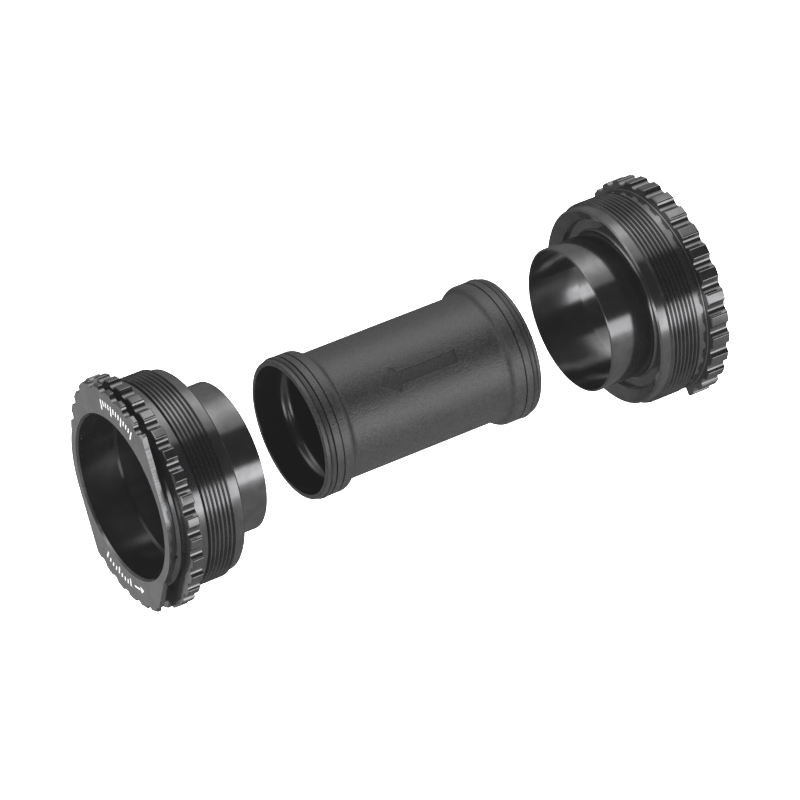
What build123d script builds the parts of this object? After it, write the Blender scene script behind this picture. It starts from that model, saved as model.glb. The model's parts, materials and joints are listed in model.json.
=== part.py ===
from build123d import *
from math import acos, cos, degrees, radians, sin
import os

# Threaded bottom bracket for a T47 frame shell and a 24 mm spindle: two threaded cups, the sleeve
# that joins them, and a sealed bearing with its dust cover for each cup. The frame axis X is the
# spindle's axis, from the left (non-drive) cup at -X to the right (drive) cup at +X, Z is up, and
# the origin is the middle of the sleeve. The parts stand drawn apart along X, as laid out before
# they are fitted, and slide together along it.
#
# Sizes along a cup are measured from the end of its collar, growing towards its outer face.
# Sizes along the sleeve are measured from its end face, growing towards its middle.

# Layout at rest
left_gap = 15.5             # sleeve end to the left collar's end
right_gap = 17.6            # sleeve end to the right collar's end
bearing_gap = 50.85         # right cup's outer face to its bearing; the left bearing mirrors it
cover_gap = 2.7             # bearing's face to the end of its dust cover's barrel

# Bearing, 25 x 37 x 7, behind a plastic reducer for a 24 mm spindle
spindle_bore = 12.05
barrel_wall = 0.42
ring_section = 6.0          # bearing's bore to its rim
bearing_width = 7.0
bearing_chamfer = 0.3
race_thickness = 1.6
ball_radius = 1.75
ball_count = 20
cage_wall = 1.2
cage_edge = 0.45            # cage beyond the balls, on each side
seal_overlap = 0.3          # how far a seal reaches into its seat in the outer race
seal_thickness = 0.7
seal_recess = 0.25

# Cups: radii
step_below_seat = 2.23      # bearing seat to the collar's bore
collar_wall = 0.45
wall_over_seat = 4.97       # bearing seat to the thread's crests, 23.5 in all
thread_depth = 0.6
nose_drop = 0.75            # thread's crests down to the lead-in
nose_face = 0.5
recess_rim = 2.35           # nose's inner edge down to the recess
recess_slope = 0.3
band_drop = 0.15
left_tooth_height = 2.5     # above the thread's crests
right_tooth_height = 1.9
neck_wall = 1.77            # over the bearing seat
rim_wall = 2.37
shoulder_height = 0.83
bore_step_height = 0.6

# Cups: lengths, in order from the collar's end
collar_reach = 8.9
nose_length = 2.3
thread_pitch = 1.0
thread_turns = 7
relief_width = 0.35
band_width = 2.25
left_ring_width = 2.8
neck_width = 1.5
plate_thickness = 1.2
right_flange_width = 4.4
recess_depth = 2.6
recess_bevel = 0.9
floor_wall = 1.1            # recess floor to the step in the bore
cover_room = 2.4            # left beside the bearing in its seat

# Cups: edges and tool teeth
collar_chamfer = 0.15
nose_round = 0.35
recess_fillet = 0.8
thread_crest = 0.14
thread_root = 0.2
band_root = 0.25             # fillet from the band to the flange
flange_chamfer = 0.2
neck_fillet = 0.8
plate_chamfer = 0.45
bore_chamfer = 0.45
left_tooth_count = 32
right_tooth_count = 30
left_tooth_phase = 5.0      # a tooth's middle, from +Y towards +Z
right_tooth_phase = 10.9
tooth_groove_radius = 1.5
tooth_groove_depth = 1.15
tooth_round = 0.45
gap_start = 18              # the drive cup leaves out two teeth after this one
gap_teeth = 2
ear_near_angle = 119.3      # where an ear's long flat starts at the rim of its teeth
ear_far_angle = 55.5        # where its steep end starts
ear_foot_angle = 33.5       # where the steep end meets the rim
ear_corner_drop = 0.7
ear_foot_fillet = 2.5
drain_radius = 0.65
drain_angle = 10.0

# Sleeve
flare_wall = 1.45
flare_step = 1.6            # flare down to the tube
tube_wall = 1.1
lead_in_drop = 0.3
lead_in_round = 0.4
mouth_chamfer = 0.12
flare_end = 5.7             # where the flare starts to narrow
flare_foot = 8.6            # where it meets the tube
o_ring_groove_start = 0.95
o_ring_section = 1.24
o_ring_side_play = 0.105
land_width = 1.55           # between the O-ring's groove and the fine one
line_groove_width = 0.35
line_groove_depth = 0.4
arrow_depth = 0.3
arrow_angle = 131.5         # from +Y towards +Z
arrow_tip = -10.2
arrow_head = 4.4
arrow_end = 9.2
arrow_barb = 0.9
arrow_head_half_width = 2.95
arrow_shaft_half_width = 1.45
arrow_corner = 0.25
arrow_edge = 0.2            # round on the pocket's outer edge

# Dust cover
cover_thickness = 1.7
cover_boss_wall = 1.75
cover_boss_height = 0.45
cover_barrel_length = 6.8
cover_o_ring_section = 1.1
cover_face_dish = 0.4
cover_lip_width = 1.6

# Clearances
flare_play = 0.2            # sleeve's flare inside the collar
o_ring_play = 0.1           # sleeve O-ring inside the collar
groove_play = 0.01          # an O-ring above the floor of its groove
seat_play = 0.03            # bearing inside its seat
seat_end_play = 0.05
cover_play = 0.03           # dust cover's barrel inside the bearing
cover_rim_play = 0.33       # dust cover's rim inside the cup
cover_ring_play = 0.05
cover_end_play = 0.02
ball_play = 0.05
pocket_play = 0.07
seal_play = 0.05

# Fitted places
shell_width = 73.0          # the flanges close on the two faces of a shell this wide
sleeve_engagement = 11.55   # how far the sleeve's ends then reach into the collars

os.makedirs("parts", exist_ok=True)

# Radii, from the spindle outwards
bearing_bore = spindle_bore + barrel_wall + cover_play
bearing_radius = bearing_bore + ring_section
inner_land = bearing_bore + race_thickness
outer_land = bearing_radius - race_thickness
seal_radius = outer_land + seal_overlap
pitch_radius = (inner_land + outer_land) / 2
cage_width = 2 * (ball_radius + cage_edge)
raceway_radius = ball_radius + ball_play
seat_radius = bearing_radius + seat_play
collar_bore = seat_radius - step_below_seat
collar_radius = collar_bore + collar_wall
shoulder_radius = seat_radius - shoulder_height
bore_step_radius = collar_bore + bore_step_height
neck_radius = seat_radius + neck_wall
rim_radius = seat_radius + rim_wall
thread_radius = seat_radius + wall_over_seat
band_radius = thread_radius - band_drop
nose_outer_radius = thread_radius - nose_drop
nose_inner_radius = nose_outer_radius - nose_face
recess_lip_radius = nose_inner_radius - recess_rim
recess_corner = recess_lip_radius - recess_slope
left_flange_radius = thread_radius + left_tooth_height
right_flange_radius = thread_radius + right_tooth_height
ear_corner_radius = left_flange_radius - ear_corner_drop
flare_radius = collar_bore - flare_play
mouth_radius = flare_radius - flare_wall
lead_in_radius = flare_radius - lead_in_drop
tube_radius = flare_radius - flare_step
tube_bore = tube_radius - tube_wall
o_ring_radius = collar_bore - o_ring_play
o_ring_centre = o_ring_radius - o_ring_section / 2
o_ring_groove_floor = o_ring_centre - o_ring_section / 2 - groove_play
cover_radius = seat_radius - cover_rim_play
cover_boss_radius = spindle_bore + cover_boss_wall
cover_barrel_radius = bearing_bore - cover_play
cover_ring_centre = seat_radius - cover_ring_play - cover_o_ring_section / 2
cover_groove_floor = cover_ring_centre - cover_o_ring_section / 2 - groove_play

# Places along a cup
nose_start = collar_reach
recess_floor = nose_start + recess_depth
recess_lip = recess_floor - recess_bevel
bore_step = recess_floor + floor_wall
thread_start = nose_start + nose_length
thread_end = thread_start + thread_turns * thread_pitch
band_start = thread_end + relief_width
flange_start = band_start + band_width
plate_start = flange_start + left_ring_width + neck_width
cup_length = plate_start + plate_thickness
shoulder = cup_length - bearing_width - cover_room

# Places along the sleeve
o_ring_groove_end = o_ring_groove_start + o_ring_section + 2 * o_ring_side_play
line_groove_start = o_ring_groove_end + land_width
line_groove_end = line_groove_start + line_groove_width

# Places along the spindle
sleeve_length = shell_width - 2 * flange_start + 2 * sleeve_engagement
sleeve_half = sleeve_length / 2
collar_end = {-1: sleeve_half + left_gap, 1: sleeve_half + right_gap}
cup_travel = {
    side: collar_end[side] + flange_start - shell_width / 2
    for side in (-1, 1)
}
bearing_rest = max(collar_end.values()) + cup_length + bearing_gap
bearing_middle = bearing_rest + bearing_width / 2
bearing_travel = {
    side: bearing_rest - (collar_end[side] + shoulder + seat_end_play)
    for side in (-1, 1)
}
cover_draw = cover_barrel_length + cover_gap
cover_seat = bearing_rest + bearing_width + cover_end_play
cover_rest = cover_seat + cover_draw

side_names = {-1: "left", 1: "right"}


def cup_point(side, place, radius):
    return (side * (collar_end[side] + place), radius)


def polar_point(radius, angle):
    return (radius * cos(radians(angle)), radius * sin(radians(angle)))


def cross_plane(x):
    """The plane square to the spindle's axis, with its own x along +Y and its own y along +Z."""
    return Plane(origin=(x, 0, 0), x_dir=(0, 1, 0), z_dir=(1, 0, 0))


def thread_profile(side):
    """Ridges of the thread, from its first root to its last."""
    root = thread_radius - thread_depth
    points = []
    for turn in range(thread_turns):
        start = thread_start + turn * thread_pitch
        crest = start + thread_pitch / 2
        points += [
            cup_point(side, start + thread_root / 2, root),
            cup_point(side, crest - thread_crest / 2, thread_radius),
            cup_point(side, crest + thread_crest / 2, thread_radius),
            cup_point(side, start + thread_pitch - thread_root / 2, root),
        ]
    return points


def nose_profile(side):
    """The collar, the recess round it and the lead-in to the thread."""
    return [
        cup_point(side, 0, collar_bore),
        cup_point(side, 0, collar_radius - collar_chamfer),
        cup_point(side, collar_chamfer, collar_radius),
        cup_point(side, recess_floor, collar_radius),
        cup_point(side, recess_floor, recess_corner),
        cup_point(side, recess_lip, recess_lip_radius),
        cup_point(side, nose_start, nose_inner_radius),
        cup_point(side, nose_start, nose_outer_radius - nose_round),
        cup_point(side, nose_start + nose_round, nose_outer_radius),
    ]


def band_profile(side):
    """The relief after the thread and the plain band, which runs up to the flange in a fillet."""
    root = [
        cup_point(
            side,
            flange_start - band_root * (1 - sin(turn)),
            band_radius + band_root * (1 - cos(turn)),
        )
        for turn in (radians(angle) for angle in range(0, 91, 15))
    ]
    return [
        cup_point(side, band_start, thread_radius - thread_depth),
        cup_point(side, band_start, band_radius),
        *root,
    ]


def toothed_ring_profile(side, radius, width):
    end = flange_start + width
    return [
        cup_point(side, flange_start, radius - flange_chamfer),
        cup_point(side, flange_start + flange_chamfer, radius),
        cup_point(side, end - flange_chamfer, radius),
        cup_point(side, end, radius - flange_chamfer),
    ]


def bore_profile(side):
    """The bearing's seat and the bore inboard of it, from the outer face inwards."""
    return [
        cup_point(side, cup_length, seat_radius + bore_chamfer),
        cup_point(side, cup_length - bore_chamfer, seat_radius),
        cup_point(side, shoulder, seat_radius),
        cup_point(side, shoulder, shoulder_radius),
        cup_point(side, bore_step, bore_step_radius),
        cup_point(side, bore_step, collar_bore),
    ]


def left_face_profile(side):
    """The neck behind the toothed ring and the plate that the ears are cut from."""
    ring_end = flange_start + left_ring_width
    return [
        cup_point(side, ring_end, neck_radius + neck_fillet),
        cup_point(side, ring_end + neck_fillet, neck_radius),
        cup_point(side, plate_start, neck_radius),
        cup_point(side, plate_start, left_flange_radius),
        cup_point(side, cup_length - plate_chamfer, left_flange_radius),
        cup_point(side, cup_length, left_flange_radius - plate_chamfer),
    ]


def right_face_profile(side):
    """The low rim that stands proud of the drive cup's flange."""
    flange_end = flange_start + right_flange_width
    return [
        cup_point(side, flange_end, rim_radius + neck_fillet),
        cup_point(side, flange_end + neck_fillet, rim_radius),
        cup_point(side, cup_length, rim_radius),
    ]


def cut_teeth(side, radius, count, phase):
    """Round-bottomed grooves along the axis, which leave teeth with rounded corners."""
    start = side * (collar_end[side] + flange_start - 0.1)
    groove_centre = radius - tooth_groove_depth + tooth_groove_radius
    with BuildSketch(cross_plane(start)) as waste:
        Circle(1.2 * radius)
        with BuildSketch(mode=Mode.PRIVATE) as toothed:
            Circle(radius)
            with PolarLocations(groove_centre, count, start_angle=phase + 180 / count):
                Circle(tooth_groove_radius, mode=Mode.SUBTRACT)
            corners = [corner for corner in toothed.vertices() if abs(corner.Y) > 0.001]
            fillet(corners, tooth_round)
        add(toothed.sketch, mode=Mode.SUBTRACT)
    depth = side * (cup_length - flange_start + 1)
    extrude(waste.sketch, amount=depth, mode=Mode.SUBTRACT)


def ear_outline():
    """One ear: a long flat that leaves the rim on its tangent, and a steep end across the teeth."""
    flat_start_angle = ear_near_angle + degrees(acos(rim_radius / ear_corner_radius))
    flat_start = Vector(*polar_point(rim_radius, flat_start_angle))
    near_corner = Vector(*polar_point(ear_corner_radius, ear_near_angle))
    far_corner = Vector(*polar_point(ear_corner_radius, ear_far_angle))
    foot = Vector(*polar_point(rim_radius, ear_foot_angle))
    middle_angle = (ear_near_angle + ear_far_angle) / 2
    middle = Vector(*polar_point(1.3 * left_flange_radius, middle_angle))
    near_outside = flat_start + (near_corner - flat_start) * 1.6
    far_outside = foot + (far_corner - foot) * 1.5
    return [Vector(0, 0), flat_start, near_outside, middle, far_outside, foot]


def cut_ears(side):
    """Leaves two toothed ears on the outer plate, one opposite the other."""
    outline = [(point.X, point.Y) for point in ear_outline()]
    with BuildSketch(cross_plane(side * (collar_end[side] + plate_start))) as waste:
        Circle(1.2 * left_flange_radius)
        with BuildSketch(mode=Mode.PRIVATE) as kept:
            Circle(rim_radius)
            with PolarLocations(0, 2):
                Polygon(*outline, align=None)
            feet = [
                corner
                for corner in kept.vertices()
                if abs(Vector(corner.X, corner.Y).length - rim_radius) < 0.01
                and abs(abs(corner.Y) - rim_radius * sin(radians(ear_foot_angle))) < 0.01
            ]
            fillet(feet, ear_foot_fillet)
        add(kept.sketch, mode=Mode.SUBTRACT)
    depth = side * (cup_length - plate_start + 1)
    extrude(waste.sketch, amount=depth, mode=Mode.SUBTRACT)


def cut_drains(side):
    """Two fine holes through the neck's wall, opposite each other."""
    middle = (flange_start + left_ring_width + neck_fillet + plate_start) / 2
    place = side * (collar_end[side] + middle)
    across = Vector(0, *polar_point(1, drain_angle))
    for way in (-1, 1):
        drill = Plane(origin=(place, 0, 0), x_dir=(1, 0, 0), z_dir=tuple(across * way))
        with BuildSketch(drill) as hole:
            Circle(drain_radius)
        extrude(hole.sketch, amount=neck_radius + 1, mode=Mode.SUBTRACT)


def cut_index_gap(side):
    """Leaves out a run of the drive cup's teeth, down to the band."""
    pitch = 360 / right_tooth_count
    first = right_tooth_phase + (gap_start + 0.25) * pitch
    last = first + (gap_teeth + 0.5) * pitch
    outside = 1.2 * right_flange_radius
    with BuildSketch(cross_plane(side * (collar_end[side] + flange_start - 0.1))) as gap:
        Polygon(
            (0, 0),
            polar_point(outside, first),
            polar_point(outside, (first + last) / 2),
            polar_point(outside, last),
            align=None,
        )
        Circle(band_radius, mode=Mode.SUBTRACT)
    extrude(gap.sketch, amount=side * (right_flange_width + 0.2), mode=Mode.SUBTRACT)


def soften_collar(side):
    """Rounds the corner where the collar leaves the floor of its recess."""
    place = side * (collar_end[side] + recess_floor)
    corner = (
        edges()
        .filter_by(GeomType.CIRCLE)
        .filter_by(lambda edge: abs(edge.radius - collar_radius) < 0.01)
        .filter_by(lambda edge: abs(edge.center().X - place) < 0.01)
    )
    fillet(corner, recess_fillet)


def half_section(points):
    """Turns a closed half outline about the spindle's axis."""
    with BuildSketch(Plane.XY) as section:
        with BuildLine():
            Polyline(*points, close=True)
        make_face()
    revolve(section.sketch, axis=Axis.X)


# Left (non-drive) cup: a toothed ring, a neck, and a thin outer plate with two ears
with BuildPart() as left_cup:
    half_section(
        nose_profile(-1)
        + thread_profile(-1)
        + band_profile(-1)
        + toothed_ring_profile(-1, left_flange_radius, left_ring_width)
        + left_face_profile(-1)
        + bore_profile(-1)
    )
    soften_collar(-1)
    cut_teeth(-1, left_flange_radius, left_tooth_count, left_tooth_phase)
    cut_ears(-1)
    cut_drains(-1)

# Right (drive) cup: one wide toothed flange and a low rim
with BuildPart() as right_cup:
    half_section(
        nose_profile(1)
        + thread_profile(1)
        + band_profile(1)
        + toothed_ring_profile(1, right_flange_radius, right_flange_width)
        + right_face_profile(1)
        + bore_profile(1)
    )
    soften_collar(1)
    cut_teeth(1, right_flange_radius, right_tooth_count, right_tooth_phase)
    cut_index_gap(1)


def sleeve_outside(side):
    """Outline of a flared end, from the mouth to where the flare starts to narrow."""
    line_floor = flare_radius - line_groove_depth
    lead_in = [
        (
            lead_in_round * (1 - cos(turn)),
            lead_in_radius - lead_in_round * (1 - sin(turn)),
        )
        for turn in (radians(angle) for angle in range(0, 91, 15))
    ]
    places = [
        (flare_end, mouth_radius),
        (mouth_chamfer, mouth_radius),
        (0, mouth_radius + mouth_chamfer),
        *lead_in,
        (o_ring_groove_start, lead_in_radius),
        (o_ring_groove_start, o_ring_groove_floor),
        (o_ring_groove_end, o_ring_groove_floor),
        (o_ring_groove_end, flare_radius),
        (line_groove_start, flare_radius),
        (line_groove_start, line_floor),
        (line_groove_end, line_floor),
        (line_groove_end, flare_radius),
        (flare_end, flare_radius),
    ]
    return [(side * (sleeve_half - place), radius) for place, radius in places]


def narrowing(side, start_radius, end_radius):
    """Two arcs that bring a radius down from the flare to the tube."""
    start = (side * (sleeve_half - flare_end), start_radius)
    end = (side * (sleeve_half - flare_foot), end_radius)
    middle = ((start[0] + end[0]) / 2, (start_radius + end_radius) / 2)
    TangentArc(start, middle, tangent=(-side, 0))
    TangentArc(end, middle, tangent=(side, 0))


# Sleeve: a moulded tube with flared ends, an O-ring groove by each end, and an arrow
with BuildPart() as centre_sleeve:
    with BuildSketch(Plane.XY):
        with BuildLine():
            for side in (-1, 1):
                Polyline(*sleeve_outside(side))
                narrowing(side, flare_radius, tube_radius)
                narrowing(side, mouth_radius, tube_bore)
            foot = sleeve_half - flare_foot
            Line((-foot, tube_radius), (foot, tube_radius))
            Line((-foot, tube_bore), (foot, tube_bore))
        make_face()
    revolve(axis=Axis.X)

    arrow_side = Vector(0, *polar_point(1, arrow_angle))
    arrow_plane = Plane(origin=(0, 0, 0), x_dir=(1, 0, 0), z_dir=tuple(arrow_side))
    with BuildSketch(arrow_plane) as arrow:
        shaft_start = arrow_tip + arrow_head
        Polygon(
            (arrow_tip, 0),
            (shaft_start, arrow_head_half_width),
            (shaft_start + arrow_barb, arrow_shaft_half_width),
            (arrow_end, arrow_shaft_half_width),
            (arrow_end, -arrow_shaft_half_width),
            (shaft_start + arrow_barb, -arrow_shaft_half_width),
            (shaft_start, -arrow_head_half_width),
            align=None,
        )
        fillet(arrow.vertices(), arrow_corner)
    pocket = extrude(arrow.sketch, amount=tube_radius + 1, mode=Mode.PRIVATE)
    pocket -= Cylinder(
        tube_radius - arrow_depth, sleeve_length, rotation=(0, 90, 0), mode=Mode.PRIVATE
    )
    add(pocket, mode=Mode.SUBTRACT)
    brim = [
        edge
        for edge in edges()
        if abs(Vector(0, edge.center().Y, edge.center().Z).length - tube_radius) < 0.01
        and arrow_tip - 1 < edge.center().X < arrow_end + 1
    ]
    fillet(brim, arrow_edge)


def ring_at(section, centre_radius, place):
    """An O-ring of round section about the spindle's axis."""
    with BuildSketch(Plane.XY) as ring_section:
        with Locations((place, centre_radius)):
            Circle(section / 2)
    revolve(ring_section.sketch, axis=Axis.X)


def raceway_ring(side, flat_radius, raceway, chamfered_radius):
    """A bearing ring's half outline, with the raceway's groove left open for the balls."""
    start = side * bearing_rest
    end = side * (bearing_rest + bearing_width)
    middle = side * bearing_middle
    step = 1 if chamfered_radius > flat_radius else -1
    cut = side * bearing_chamfer
    with BuildSketch(Plane.XY) as section:
        with BuildLine():
            Polyline(
                (start, flat_radius),
                (start, chamfered_radius - step * bearing_chamfer),
                (start + cut, chamfered_radius),
                (end - cut, chamfered_radius),
                (end, chamfered_radius - step * bearing_chamfer),
                (end, flat_radius),
                close=True,
            )
        make_face()
        with Locations((middle, pitch_radius)):
            Circle(raceway, mode=Mode.SUBTRACT)
    revolve(section.sketch, axis=Axis.X)


def seal_seats(side):
    """Steps in the outer ring's bore that hold the seals."""
    for place in seal_places(side):
        with BuildSketch(cross_plane(place)) as seat:
            Circle(seal_radius)
        extrude(seat.sketch, amount=side * seal_thickness, mode=Mode.SUBTRACT)


def seal_places(side):
    """The inboard faces of the two seals."""
    inboard = bearing_rest + seal_recess
    outboard = bearing_rest + bearing_width - seal_recess - seal_thickness
    return (side * inboard, side * outboard)


def build_bearing(side):
    """One sealed ball bearing: two rings, balls, cage and two seals."""
    made = {}
    with BuildPart() as outer_race:
        raceway_ring(side, outer_land, raceway_radius, bearing_radius)
        seal_seats(side)
    made["outer_race"] = outer_race.part

    with BuildPart() as inner_race:
        raceway_ring(side, inner_land, raceway_radius, bearing_bore)
    made["inner_race"] = inner_race.part

    with BuildPart() as cage:
        with BuildSketch(cross_plane(side * (bearing_middle - cage_width / 2))):
            Circle(pitch_radius + cage_wall / 2)
            Circle(pitch_radius - cage_wall / 2, mode=Mode.SUBTRACT)
        extrude(amount=side * cage_width)
        with Locations(cross_plane(side * bearing_middle)):
            with PolarLocations(pitch_radius, ball_count):
                Cylinder(
                    ball_radius + pocket_play,
                    3 * cage_wall,
                    rotation=(0, 90, 0),
                    mode=Mode.SUBTRACT,
                )
    made["cage"] = cage.part

    with BuildPart() as balls:
        with Locations(cross_plane(side * bearing_middle)):
            with PolarLocations(pitch_radius, ball_count):
                Sphere(ball_radius)
    made["balls"] = balls.part

    for name, place in zip(("inboard_seal", "outboard_seal"), seal_places(side)):
        with BuildPart() as seal:
            with BuildSketch(cross_plane(place)):
                Circle(seal_radius)
                Circle(inner_land + seal_play, mode=Mode.SUBTRACT)
            extrude(amount=side * seal_thickness)
        made[name] = seal.part
    return made


def build_cover(side):
    """A dust cover: a grooved disc, a boss that bears on the inner ring, and a thin barrel."""
    inner = cover_rest
    outer = inner + cover_boss_height + cover_thickness
    disc = inner + cover_boss_height
    groove_start = disc + (cover_thickness - cover_o_ring_section) / 2
    points = [
        (inner - cover_barrel_length, spindle_bore),
        (inner - cover_barrel_length, cover_barrel_radius),
        (inner, cover_barrel_radius),
        (inner, cover_boss_radius),
        (disc, cover_boss_radius),
        (disc, cover_radius),
        (groove_start, cover_radius),
        (groove_start, cover_groove_floor),
        (groove_start + cover_o_ring_section, cover_groove_floor),
        (groove_start + cover_o_ring_section, cover_radius),
        (outer, cover_radius),
        (outer, cover_radius - cover_lip_width),
        (outer - cover_face_dish, cover_radius - cover_lip_width - cover_face_dish),
        (outer - cover_face_dish, spindle_bore + cover_lip_width + cover_face_dish),
        (outer, spindle_bore + cover_lip_width),
        (outer, spindle_bore),
    ]
    with BuildPart() as cover:
        half_section([(side * place, radius) for place, radius in points])
    ring_place = side * (groove_start + cover_o_ring_section / 2)
    with BuildPart() as cover_ring:
        ring_at(cover_o_ring_section, cover_ring_centre, ring_place)
    return {"dust_cover": cover.part, "cover_o_ring": cover_ring.part}


pieces = {
    "left_cup": left_cup.part,
    "right_cup": right_cup.part,
    "centre_sleeve": centre_sleeve.part,
}
for side, name in side_names.items():
    ring_middle = sleeve_half - (o_ring_groove_start + o_ring_groove_end) / 2
    with BuildPart() as sleeve_ring:
        ring_at(o_ring_section, o_ring_centre, side * ring_middle)
    pieces[name + "_sleeve_o_ring"] = sleeve_ring.part
    for piece, solid in build_bearing(side).items():
        pieces[name + "_bearing_" + piece] = solid
    for piece, solid in build_cover(side).items():
        pieces[name + "_" + piece] = solid

for name, solid in pieces.items():
    solid.label = name
    export_step(solid, "parts/" + name + ".step")

print("cup travel", cup_travel)
print("bearing travel", bearing_travel)
print("cover rest", cover_rest)
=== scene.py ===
import json
from math import cos, pi, radians, sin

import bpy
from mathutils import Matrix, Vector

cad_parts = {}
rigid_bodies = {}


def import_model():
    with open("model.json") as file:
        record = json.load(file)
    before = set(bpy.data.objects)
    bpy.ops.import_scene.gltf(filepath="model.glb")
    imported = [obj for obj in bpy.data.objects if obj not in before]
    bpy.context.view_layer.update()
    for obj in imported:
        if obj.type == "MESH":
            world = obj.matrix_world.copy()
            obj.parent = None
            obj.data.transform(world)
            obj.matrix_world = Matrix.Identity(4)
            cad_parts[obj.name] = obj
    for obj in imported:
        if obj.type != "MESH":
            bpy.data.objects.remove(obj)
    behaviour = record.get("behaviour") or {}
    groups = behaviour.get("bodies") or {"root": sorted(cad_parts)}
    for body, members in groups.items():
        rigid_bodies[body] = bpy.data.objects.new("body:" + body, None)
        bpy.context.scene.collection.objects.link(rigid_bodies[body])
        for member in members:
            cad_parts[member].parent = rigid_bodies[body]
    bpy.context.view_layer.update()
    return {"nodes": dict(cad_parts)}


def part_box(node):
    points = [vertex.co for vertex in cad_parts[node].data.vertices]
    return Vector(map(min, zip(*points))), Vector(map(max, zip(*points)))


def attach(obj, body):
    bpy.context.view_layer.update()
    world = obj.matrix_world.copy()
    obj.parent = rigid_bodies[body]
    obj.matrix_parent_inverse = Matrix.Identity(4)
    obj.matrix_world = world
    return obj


bl_info = {
    "name": "Threaded bottom bracket",
    "version": (1, 0, 0),
    "blender": (4, 5, 0),
    "location": "View3D > Sidebar > Bracket",
    "description": "Finishes, face marks and studio for a threaded bottom bracket",
    "category": "Object",
}

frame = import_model()
MM = 0.001
LEFT_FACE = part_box("left_cup")[0].x
SIDES = ("left", "right")


# ---------------------------------------------------------------- settings


class FinishSettings(bpy.types.PropertyGroup):
    """Colours and gloss of the bracket's materials."""

    cup_colour: bpy.props.FloatVectorProperty(
        name="Cup colour", description="Reflected colour of the anodised cups",
        subtype="COLOR", size=3, min=0, max=1, default=(0.15, 0.15, 0.153))
    cup_roughness: bpy.props.FloatProperty(
        name="Cup roughness", description="Blur of the cups' reflections",
        subtype="FACTOR", min=0, max=1, default=0.15)
    sleeve_colour: bpy.props.FloatVectorProperty(
        name="Sleeve colour", description="Colour of the moulded sleeve",
        subtype="COLOR", size=3, min=0, max=1, default=(0.0125, 0.0125, 0.0128))
    sleeve_roughness: bpy.props.FloatProperty(
        name="Sleeve roughness", description="Blur of the sleeve's highlight",
        subtype="FACTOR", min=0, max=1, default=0.31)
    sleeve_bore_roughness: bpy.props.FloatProperty(
        name="Sleeve bore roughness", description="Blur of the highlights in the sleeve's bore",
        subtype="FACTOR", min=0, max=1, default=0.2)
    grain_size: bpy.props.FloatProperty(
        name="Grain size", description="Size of the sleeve's moulded grain, in millimetres",
        min=0.02, max=2, default=0.34)
    grain_depth: bpy.props.FloatProperty(
        name="Grain depth", description="Depth of the sleeve's moulded grain, in millimetres",
        min=0, max=1, default=0.13)
    rubber_colour: bpy.props.FloatVectorProperty(
        name="Rubber colour", description="Colour of the O-rings and seals",
        subtype="COLOR", size=3, min=0, max=1, default=(0.014, 0.014, 0.014))
    mark_colour: bpy.props.FloatVectorProperty(
        name="Mark colour", description="Colour of the paint in the face marks",
        subtype="COLOR", size=3, min=0, max=1, default=(0.82, 0.82, 0.80))


class MarkSettings(bpy.types.PropertyGroup):
    """The plain marks on the left cup's ears, in millimetres and degrees."""

    radius: bpy.props.FloatProperty(
        name="Radius", description="Distance of the upper marks from the spindle's axis",
        min=18, max=26, default=21.9)
    height: bpy.props.FloatProperty(
        name="Height", description="Length of a long tick", min=0.2, max=4, default=2.4)
    width: bpy.props.FloatProperty(
        name="Width", description="Width of a tick's stroke", min=0.05, max=1, default=0.42)
    proud: bpy.props.FloatProperty(
        name="Proud", description="How far the paint stands out of the face",
        min=0.005, max=0.2, default=0.02)


class StageSettings(bpy.types.PropertyGroup):
    """Camera, floor and light."""

    azimuth: bpy.props.FloatProperty(
        name="Azimuth", description="Camera's turn about Z, in degrees", default=-31.07)
    elevation: bpy.props.FloatProperty(
        name="Elevation", description="Camera's height above the horizon, in degrees",
        default=36.89)
    roll: bpy.props.FloatProperty(
        name="Roll", description="Camera's roll, in degrees", default=-1.69)
    lens: bpy.props.FloatProperty(
        name="Lens", description="Focal length, in millimetres", min=10, max=500,
        default=229.9)
    location: bpy.props.FloatVectorProperty(
        name="Camera", description="Camera's place", subtype="TRANSLATION", unit="LENGTH",
        size=3, default=(-0.45682, -0.75925, 0.66185))
    floor_height: bpy.props.FloatProperty(
        name="Floor", description="Height of the floor", unit="LENGTH", default=-0.16)
    floor_glow: bpy.props.FloatProperty(
        name="Floor glow", description="Light that the pale floor sends up", min=0, max=10,
        default=3.0)
    haze: bpy.props.FloatProperty(
        name="Haze", description="Light that the lens spreads over the darkest tones",
        min=0, max=0.1, default=0.011)


SETTING_GROUPS = (FinishSettings, MarkSettings, StageSettings)


def settings(kind):
    return getattr(bpy.context.scene, "bracket_" + kind)


# ---------------------------------------------------------------- shader nodes


# A Mix node's colour sockets, by number, because its other sockets have the same names.
MIX_LOW, MIX_HIGH, MIX_RESULT = 6, 7, 2


class Number:
    """A number in a node tree, with the usual arithmetic."""

    def __init__(self, tree, socket):
        self.tree = tree
        self.socket = socket

    def __add__(self, other):
        return self.tree.maths("ADD", self, other)

    __radd__ = __add__

    def __sub__(self, other):
        return self.tree.maths("SUBTRACT", self, other)

    def __rsub__(self, other):
        return self.tree.maths("SUBTRACT", other, self)

    def __mul__(self, other):
        return self.tree.maths("MULTIPLY", self, other)

    __rmul__ = __mul__

    def __truediv__(self, other):
        return self.tree.maths("DIVIDE", self, other)

    def __rtruediv__(self, other):
        return self.tree.maths("DIVIDE", other, self)

    def __neg__(self):
        return self * -1

    def __pow__(self, other):
        return self.tree.maths("POWER", self, other)

    def between(self, low, high):
        """0 below low, 1 above high, and smooth from one to the other."""
        inputs = {"Value": self, "From Min": low, "From Max": high}
        made = self.tree.node("ShaderNodeMapRange", inputs, interpolation_type="SMOOTHSTEP")
        return Number(self.tree, made.outputs["Result"])


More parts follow.
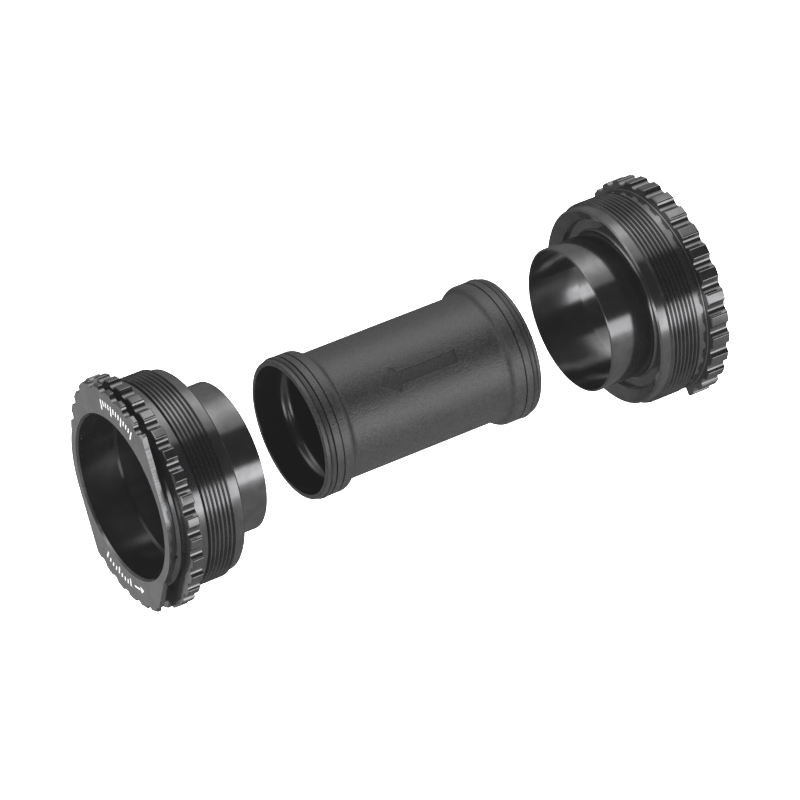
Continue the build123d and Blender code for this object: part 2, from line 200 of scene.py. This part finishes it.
class Tree:
    """A node tree, built a node at a time."""

    def __init__(self, owner):
        owner.use_nodes = True
        self.nodes = owner.node_tree.nodes
        self.links = owner.node_tree.links

    def put(self, socket, value):
        """Sets a socket, or links it when the value comes from another node."""
        if isinstance(value, Number):
            value = value.socket
        if isinstance(value, bpy.types.NodeSocket):
            self.links.new(value, socket)
        else:
            socket.default_value = value

    def node(self, kind, inputs=None, stops=(), **options):
        made = self.nodes.new(kind)
        for key, value in options.items():
            setattr(made, key, value)
        for index, (position, level) in enumerate(stops):
            elements = made.color_ramp.elements
            stop = elements[index] if index < 2 else elements.new(position)
            stop.position = position
            stop.color = (level, level, level, 1.0)
        for key, value in (inputs or {}).items():
            self.put(made.inputs[key], value)
        return made

    def maths(self, operation, *values):
        made = self.node("ShaderNodeMath", dict(enumerate(values)), operation=operation)
        return Number(self, made.outputs[0])

    def parts(self, vector):
        split = self.node("ShaderNodeSeparateXYZ", {"Vector": vector})
        return [Number(self, split.outputs[axis]) for axis in "XYZ"]

    def vector(self, x, y, z):
        joined = self.node("ShaderNodeCombineXYZ", {"X": x, "Y": y, "Z": z})
        return joined.outputs["Vector"]


class Shader(Tree):
    """A material's node tree."""

    def __init__(self, name, fixed):
        self.material = bpy.data.materials.new(name)
        super().__init__(self.material)
        self.surface = self.nodes["Principled BSDF"]
        for socket, value in fixed.items():
            self.into(socket, value)
        coordinates = self.node("ShaderNodeTexCoord")
        self.place = coordinates.outputs["Object"]
        self.normal = coordinates.outputs["Normal"]

    def noise(self, size, detail=2.0, vector=None, **inputs):
        """Noise from 0 to 1, with blobs of about that size in millimetres."""
        place = vector or self.place
        sockets = {"Vector": place, "Scale": 1 / (size * MM), "Detail": detail, **inputs}
        return Number(self, self.node("ShaderNodeTexNoise", sockets).outputs["Fac"])

    def distance(self):
        """Distance from the spindle's axis."""
        _, y, z = self.parts(self.place)
        return (y * y + z * z) ** 0.5

    def radial(self):
        """Place along the axis and distance from it, as a vector with no angle in it."""
        return self.vector(self.parts(self.place)[0], self.distance(), 0.0)

    def inside(self):
        """1 on a bore, which faces the axis, and 0 on outsides and ends."""
        _, y, z = self.parts(self.place)
        _, facing_y, facing_z = self.parts(self.normal)
        inward = -(y * facing_y + z * facing_z)
        return inward.between(1 * MM, 4 * MM)

    def mix(self, amount, low, high):
        """A colour between two, at an amount from 0 to 1."""
        inputs = {0: amount, MIX_LOW: (*low, 1.0), MIX_HIGH: (*high, 1.0)}
        return self.node("ShaderNodeMix", inputs, data_type="RGBA").outputs[MIX_RESULT]

    def bump(self, height, distance):
        """Raises the surface by a height from 0 to 1, times a distance in millimetres."""
        inputs = {"Height": height, "Distance": distance * MM, "Strength": 1.0}
        self.into("Normal", self.node("ShaderNodeBump", inputs).outputs["Normal"])

    def into(self, socket, value):
        """Sets or links a socket of the surface itself."""
        self.put(self.surface.inputs[socket], value)


def scaled(colour, factor):
    return tuple(min(1.0, channel * factor) for channel in colour)


# ---------------------------------------------------------------- materials


# The ears' milled flats, in millimetres: their radii, and the outer plate's thickness.
FLAT_START = 20.6
FLAT_MIDDLE = 22.5
FLAT_END = 24.8
PLATE = 1.2


def chatter(made):
    """Marks across the ears' milled flats, which the cutter leaves side by side."""
    x, y, z = made.parts(made.place)
    facing_x = made.parts(made.normal)[0]
    edge = 1 - (facing_x * facing_x).between(0.1, 0.3)
    plate = 1 - x.between(LEFT_FACE + PLATE * MM, LEFT_FACE + (PLATE + 0.2) * MM)
    distance = made.distance()
    outward = distance.between(FLAT_START * MM, (FLAT_START + 0.3) * MM)
    flats = outward * (1 - distance.between((FLAT_END - 0.4) * MM, FLAT_END * MM))
    arc = made.maths("ARCTAN2", z, y) * (FLAT_MIDDLE * MM)
    stripes = made.noise(0.3, detail=1.0, vector=made.vector(arc, 0.0, 0.0))
    return stripes * edge * plate * flats


def anodised_cup():
    """Black anodised aluminium, turned: faint rings from the tool and a little haze."""
    finish = settings("finish")
    made = Shader("anodised_cup", {"Metallic": 0.96, "Specular IOR Level": 0.5})
    rings = made.noise(0.12, detail=3.0, vector=made.radial())
    haze = made.noise(4.0, detail=3.0)
    speck = made.noise(0.35)
    made.into("Base Color", made.mix(
        haze.between(0.35, 0.7), scaled(finish.cup_colour, 0.86), scaled(finish.cup_colour, 1.12)))
    roughness = finish.cup_roughness + (haze - 0.5) * 0.04 + (rings - 0.5) * 0.05
    made.into("Roughness", roughness + (speck - 0.5) * 0.03)
    made.bump(rings + chatter(made) * 22, 0.0012)
    return made.material


def moulded_sleeve():
    """Fine matt grain outside, as a spark-eroded mould leaves it, and a glossy bore."""
    finish = settings("finish")
    made = Shader("moulded_sleeve", {"Metallic": 0.0, "Specular IOR Level": 0.8})
    grain = made.noise(finish.grain_size, detail=3.0, Roughness=0.6)
    cloud = made.noise(6.0)
    bore = made.inside()
    matt = 1 - bore
    made.into("Base Color", made.mix(
        grain.between(0.3, 0.72) * matt,
        scaled(finish.sleeve_colour, 0.3), scaled(finish.sleeve_colour, 2.3)))
    roughness = finish.sleeve_roughness + (grain - 0.5) * 0.2 + (cloud - 0.5) * 0.06
    made.into("Roughness", roughness * matt + bore * finish.sleeve_bore_roughness)
    made.bump(grain * matt, finish.grain_depth)
    return made.material


def seal_rubber():
    """Black rubber with a pale bloom."""
    finish = settings("finish")
    made = Shader("seal_rubber", {"Metallic": 0.0})
    grain = made.noise(0.15)
    bloom = made.noise(3.0, detail=3.0)
    made.into("Base Color", made.mix(
        bloom.between(0.4, 0.8), finish.rubber_colour, scaled(finish.rubber_colour, 1.9)))
    made.into("Roughness", 0.36 + (bloom - 0.5) * 0.2)
    made.bump(grain, 0.006)
    return made.material


def bearing_steel():
    """Ground rings: fine lines round the axis and a little haze."""
    made = Shader("bearing_steel", {"Metallic": 1.0})
    lines = made.noise(0.06, detail=3.0, vector=made.radial())
    haze = made.noise(5.0)
    made.into("Base Color", made.mix(haze, (0.56, 0.56, 0.58), (0.68, 0.68, 0.69)))
    made.into("Roughness", 0.2 + (lines - 0.5) * 0.16)
    made.bump(lines, 0.0015)
    return made.material


def ball_steel():
    """Polished steel."""
    made = Shader("ball_steel", {"Metallic": 1.0})
    haze = made.noise(1.2)
    made.into("Base Color", made.mix(haze, (0.72, 0.72, 0.74), (0.80, 0.80, 0.81)))
    made.into("Roughness", 0.06 + haze * 0.05)
    return made.material


def cage_plastic():
    """Undyed nylon."""
    made = Shader("cage_plastic", {"Metallic": 0.0})
    grain = made.noise(0.3, detail=3.0)
    made.into("Base Color", made.mix(grain, (0.60, 0.55, 0.44), (0.70, 0.66, 0.56)))
    made.into("Roughness", 0.45 + (grain - 0.5) * 0.15)
    made.bump(grain, 0.01)
    return made.material


def cover_plastic():
    """Black moulded plastic with a low sheen."""
    made = Shader("cover_plastic", {"Metallic": 0.0})
    grain = made.noise(0.25, detail=3.0)
    cloud = made.noise(5.0)
    made.into("Base Color", made.mix(cloud, (0.018, 0.018, 0.019), (0.030, 0.030, 0.032)))
    made.into("Roughness", 0.33 + (grain - 0.5) * 0.16)
    made.bump(grain, 0.012)
    return made.material


def mark_paint():
    """White paint, a little uneven."""
    finish = settings("finish")
    made = Shader("mark_paint", {"Metallic": 0.0})
    grain = made.noise(0.12)
    made.into("Base Color", made.mix(
        grain.between(0.25, 0.6), scaled(finish.mark_colour, 0.78), finish.mark_colour))
    made.into("Roughness", 0.5 + (grain - 0.5) * 0.2)
    made.bump(grain, 0.004)
    return made.material


def studio_floor():
    """A pale, evenly lit table."""
    made = Shader("studio_floor", {
        "Metallic": 0.0, "Roughness": 0.9, "Specular IOR Level": 0.0,
        "Emission Color": (1.0, 1.0, 1.0, 1.0),
        "Emission Strength": settings("stage").floor_glow,
    })
    cloud = made.noise(180.0, detail=1.0)
    made.into("Base Color", made.mix(cloud, (0.30, 0.30, 0.30), (0.32, 0.32, 0.32)))
    return made.material


def dress(node, material):
    """Gives a node of the model its material."""
    mesh = frame["nodes"][node].data
    mesh.materials.clear()
    mesh.materials.append(material)


# ---------------------------------------------------------------- modelling helpers


def deselect():
    for thing in bpy.context.view_layer.objects:
        thing.select_set(False)


def settle(piece, name):
    """Names a piece and moves its place into its mesh."""
    deselect()
    piece.name = name
    piece.data.name = name
    piece.select_set(True)
    bpy.context.view_layer.objects.active = piece
    bpy.ops.object.transform_apply(location=True, rotation=True, scale=True)
    return piece


def joined(pieces, name):
    deselect()
    for piece in pieces:
        piece.select_set(True)
    bpy.context.view_layer.objects.active = pieces[0]
    bpy.ops.object.join()
    return settle(bpy.context.view_layer.objects.active, name)


def face_place(radius, angle):
    """A point on the left cup's outer face, at an angle from +Y towards +Z."""
    turn = radians(angle)
    return Vector((LEFT_FACE, radius * cos(turn) * MM, radius * sin(turn) * MM))


def bar(angle, radius, out, round_axis, proud):
    """One painted stroke, with its sizes out from the axis and round it."""
    deselect()
    bpy.ops.mesh.primitive_cube_add(size=1, location=face_place(radius, angle))
    made = bpy.context.object
    made.scale = (2 * proud * MM, out * MM, round_axis * MM)
    made.rotation_euler = (radians(angle), 0, 0)
    settle(made, "bar")
    bevel = made.modifiers.new("Soft edge", "BEVEL")
    bevel.width = 0.25 * proud * MM
    bpy.ops.object.modifier_apply(modifier=bevel.name)
    return made


def ticks(first, step, count, outer, long, short):
    """A row of ticks that end on one circle round the axis, where every fourth is long."""
    mark = settings("marks")
    made = []
    for index in range(count):
        length = short if index % 4 else long
        angle = first + step * index
        made.append(bar(angle, outer - length / 2, length, mark.width, mark.proud))
    return made


def arrow_head(angle, size, proud, radius):
    """A flat triangle that points round the axis, the way that the angle falls."""
    deselect()
    bpy.ops.mesh.primitive_cylinder_add(
        vertices=3, radius=size * MM, depth=2 * proud * MM, location=(0, 0, 0))
    made = bpy.context.object
    lay_flat = Matrix.Rotation(radians(90), 4, "Y")
    made.matrix_world = (
        Matrix.Translation(face_place(radius, angle))
        @ Matrix.Rotation(radians(angle - 90), 4, "X")
        @ lay_flat
    )
    return settle(made, "arrow_head")


# ---------------------------------------------------------------- operators


class BRACKET_OT_cups(bpy.types.Operator):
    """Finishes the two cups"""

    bl_idname = "bracket.cups"
    bl_label = "Cups"

    def execute(self, context):
        material = anodised_cup()
        for side in SIDES:
            dress(side + "_cup", material)
        return {"FINISHED"}


class BRACKET_OT_sleeve(bpy.types.Operator):
    """Finishes the sleeve and its O-rings"""

    bl_idname = "bracket.sleeve"
    bl_label = "Sleeve"

    def execute(self, context):
        dress("centre_sleeve", moulded_sleeve())
        rubber = seal_rubber()
        for side in SIDES:
            dress(side + "_sleeve_o_ring", rubber)
        return {"FINISHED"}


class BRACKET_OT_bearings(bpy.types.Operator):
    """Finishes the bearings and their dust covers"""

    bl_idname = "bracket.bearings"
    bl_label = "Bearings"

    def execute(self, context):
        rubber = seal_rubber()
        steel = bearing_steel()
        finishes = {
            "bearing_outer_race": steel,
            "bearing_inner_race": steel,
            "bearing_cage": cage_plastic(),
            "bearing_balls": ball_steel(),
            "bearing_inboard_seal": rubber,
            "bearing_outboard_seal": rubber,
            "dust_cover": cover_plastic(),
            "cover_o_ring": rubber,
        }
        for side in SIDES:
            for piece, material in finishes.items():
                dress(side + "_" + piece, material)
        return {"FINISHED"}


class BRACKET_OT_marks(bpy.types.Operator):
    """Paints plain ticks and an arrow on the left cup's ears"""

    bl_idname = "bracket.marks"
    bl_label = "Face marks"

    def execute(self, context):
        mark = settings("marks")
        paint = mark_paint()
        long = mark.height
        top = ticks(75.5, 2.75, 13, mark.radius + long / 2, long, 0.55 * mark.height)

        radius = mark.radius - 0.4
        long = 0.8 * mark.height
        low = ticks(-70, -3.3, 9, radius + long / 2, long, 0.45 * mark.height)
        low.append(bar(-104.5, radius, mark.width, 2.6, mark.proud))
        low.append(arrow_head(-110, 0.95, mark.proud, radius))

        scale_marks = joined(top, "left_cup_scale_marks")
        turn_marks = joined(low, "left_cup_turn_marks")
        for piece in (scale_marks, turn_marks):
            piece.data.materials.clear()
            piece.data.materials.append(paint)
            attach(piece, "left_cup")
        return {"FINISHED"}


# Brightness of the studio round the spindle's axis: degrees from +Y towards +Z, and radiance.
# Above hangs a broad box that fades to both sides, in front stands a narrow strip, and below
# lies the table, which darkens towards the back.
STUDIO = (
    (0, 0.32), (31, 0.52), (45, 0.80), (58, 1.65), (70, 2.15), (82, 1.55), (93, 1.02),
    (104, 0.70), (109, 0.045), (161, 0.04), (167, 3.2), (184, 3.6), (190, 1.25), (200, 0.58),
    (222, 0.47), (262, 0.33), (292, 0.16), (315, 0.09), (345, 0.14), (360, 0.32),
)
STUDIO_PEAK = max(radiance for _, radiance in STUDIO)
CARD = (-0.3, 0.722, -0.622)  # direction of a small soft card that lights the left cup's face
CARD_RADIANCE = 0.65
END_RADIANCE = 0.25


def studio_world():
    """The studio as a surround, so that every part carries the same bands of light."""
    world = bpy.data.worlds.new("studio_surround")
    tree = Tree(world)
    x, y, z = tree.parts(tree.node("ShaderNodeTexCoord").outputs["Generated"])
    turn = tree.maths("FRACT", tree.maths("ARCTAN2", z, y) / (2 * pi) + 1)
    stops = [(angle / 360, radiance / STUDIO_PEAK) for angle, radiance in STUDIO]
    ramp = tree.node("ShaderNodeValToRGB", {"Fac": turn}, stops=stops)
    bands = Number(tree, ramp.outputs["Color"]) * STUDIO_PEAK
    towards_card = x * CARD[0] + y * CARD[1] + z * CARD[2]
    card = towards_card.between(0.982, 0.998) * CARD_RADIANCE
    ends = (x * x).between(0.72, 0.98)
    light = (bands + card) * (1 - ends) + ends * END_RADIANCE
    background = tree.nodes["Background"]
    tree.put(background.inputs["Color"], (1.0, 1.0, 1.0, 1.0))
    tree.put(background.inputs["Strength"], light)
    return world


def lay_floor(stage):
    deselect()
    bpy.ops.mesh.primitive_circle_add(
        vertices=96, radius=8.0, fill_type="NGON", location=(0, 0, stage.floor_height))
    floor = settle(bpy.context.object, "studio_floor")
    floor.data.materials.append(studio_floor())
    floor.visible_glossy = False


def add_to_scene(name, data):
    made = bpy.data.objects.new(name, data)
    bpy.context.scene.collection.objects.link(made)
    return made


def hang_light():
    light = bpy.data.lights.new("overhead_box", "AREA")
    light.size = 0.6
    light.energy = 0.4
    add_to_scene("overhead_box", light).location = (0, 0.3, 0.9)


def place_camera(stage):
    camera = add_to_scene("camera", bpy.data.cameras.new("camera"))
    azimuth, elevation = radians(-stage.azimuth), radians(stage.elevation)
    forward = Vector((
        sin(azimuth) * cos(elevation), cos(azimuth) * cos(elevation), -sin(elevation)))
    camera.rotation_mode = "QUATERNION"
    roll = Matrix.Rotation(radians(stage.roll), 3, -forward)
    level = forward.to_track_quat("-Z", "Y").to_matrix()
    camera.rotation_quaternion = (roll @ level).to_quaternion()
    camera.location = stage.location
    camera.data.lens = stage.lens
    camera.data.clip_start, camera.data.clip_end = 0.01, 50
    bpy.context.scene.camera = camera


class BRACKET_OT_stage(bpy.types.Operator):
    """Lays the floor and sets the light and the camera"""

    bl_idname = "bracket.stage"
    bl_label = "Stage"

    def execute(self, context):
        stage = settings("stage")
        lay_floor(stage)
        hang_light()
        context.scene.world = studio_world()
        view = context.scene.view_settings
        view.view_transform = "Standard"
        view.use_curve_mapping = True
        view.curve_mapping.black_level = (-stage.haze,) * 3
        view.curve_mapping.update()
        place_camera(stage)
        return {"FINISHED"}


PIECE_OPERATORS = (
    BRACKET_OT_cups,
    BRACKET_OT_sleeve,
    BRACKET_OT_bearings,
    BRACKET_OT_marks,
    BRACKET_OT_stage,
)


class BRACKET_PT_panel(bpy.types.Panel):
    """Lists the pieces in the order they are made"""

    bl_label = "Bottom bracket"
    bl_idname = "BRACKET_PT_panel"
    bl_space_type = "VIEW_3D"
    bl_region_type = "UI"
    bl_category = "Bracket"

    def draw(self, context):
        for operator in PIECE_OPERATORS:
            self.layout.operator(operator.bl_idname)


CLASSES = (*SETTING_GROUPS, *PIECE_OPERATORS, BRACKET_PT_panel)


def register():
    for made in CLASSES:
        bpy.utils.register_class(made)
    scene = bpy.types.Scene
    scene.bracket_finish = bpy.props.PointerProperty(type=FinishSettings)
    scene.bracket_marks = bpy.props.PointerProperty(type=MarkSettings)
    scene.bracket_stage = bpy.props.PointerProperty(type=StageSettings)


def unregister():
    scene = bpy.types.Scene
    del scene.bracket_finish, scene.bracket_marks, scene.bracket_stage
    for made in reversed(CLASSES):
        bpy.utils.unregister_class(made)


def main():
    register()
    for operator in PIECE_OPERATORS:
        group, name = operator.bl_idname.split(".")
        getattr(getattr(bpy.ops, group), name)()


if __name__ == "__main__":
    main()
